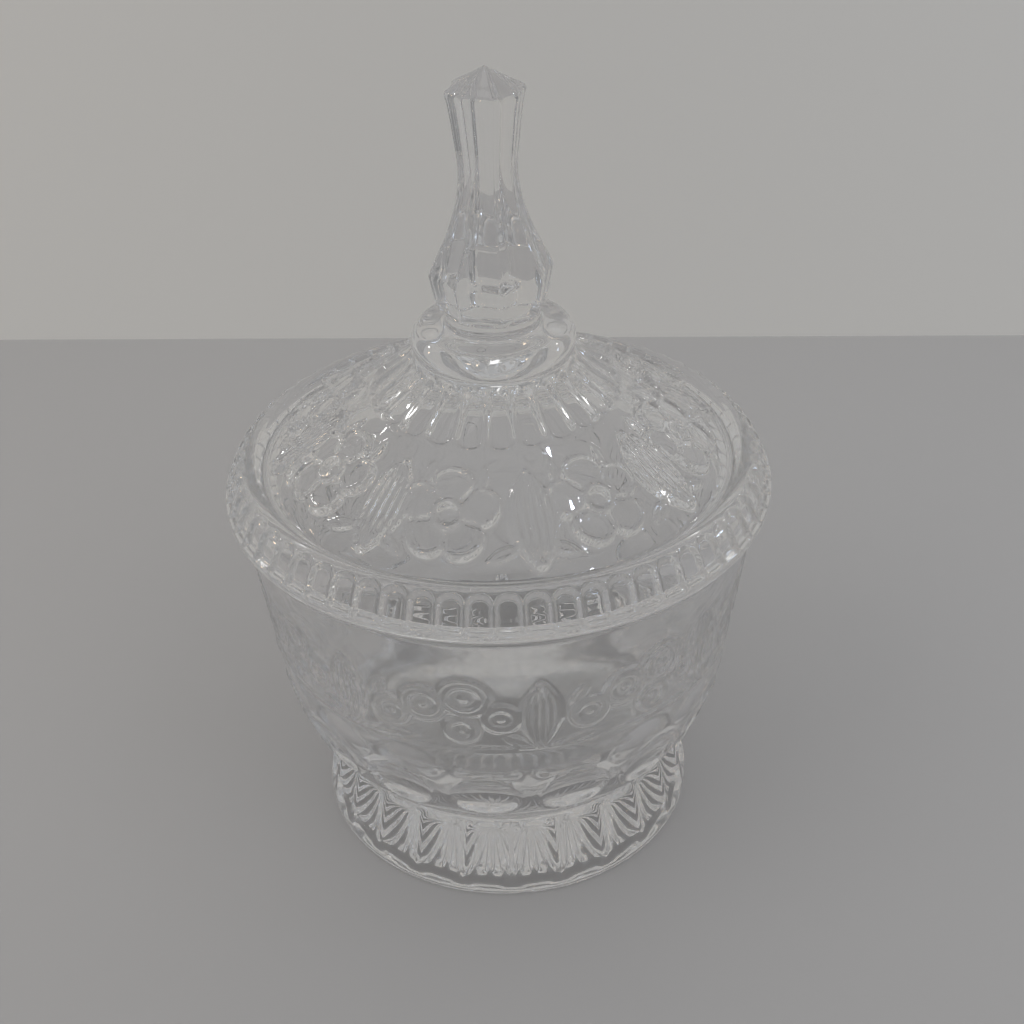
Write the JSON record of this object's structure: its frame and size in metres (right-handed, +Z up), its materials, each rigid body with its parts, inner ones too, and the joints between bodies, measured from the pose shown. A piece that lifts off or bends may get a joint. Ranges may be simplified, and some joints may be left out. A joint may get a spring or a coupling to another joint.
{
  "type": "covered candy dish",
  "caption": "Round footed pressed-glass candy dish with a lift-off domed lid, a tall faceted finial, a scalloped rim and a floral panel pattern.",
  "frame": {"origin": "centre of the face that the foot rests on", "axes": "+Z up along the dish's axis, -Y towards the front"},
  "size_m": [0.14, 0.14, 0.209],
  "materials": {
    "bowl_glass": "fire-polished clear pressed soda-lime glass",
    "lid_glass": "fire-polished clear pressed soda-lime glass"
  },
  "bodies": {
    "bowl": {"bowl": "bowl_glass"},
    "lid": {"lid": "lid_glass"}
  },
  "joints": [
    {"name": "lid_lift", "type": "slide", "parent": "bowl", "child": "lid", "axis": [0, 0, 1], "range_m": [0, 0.12]}
  ]
}
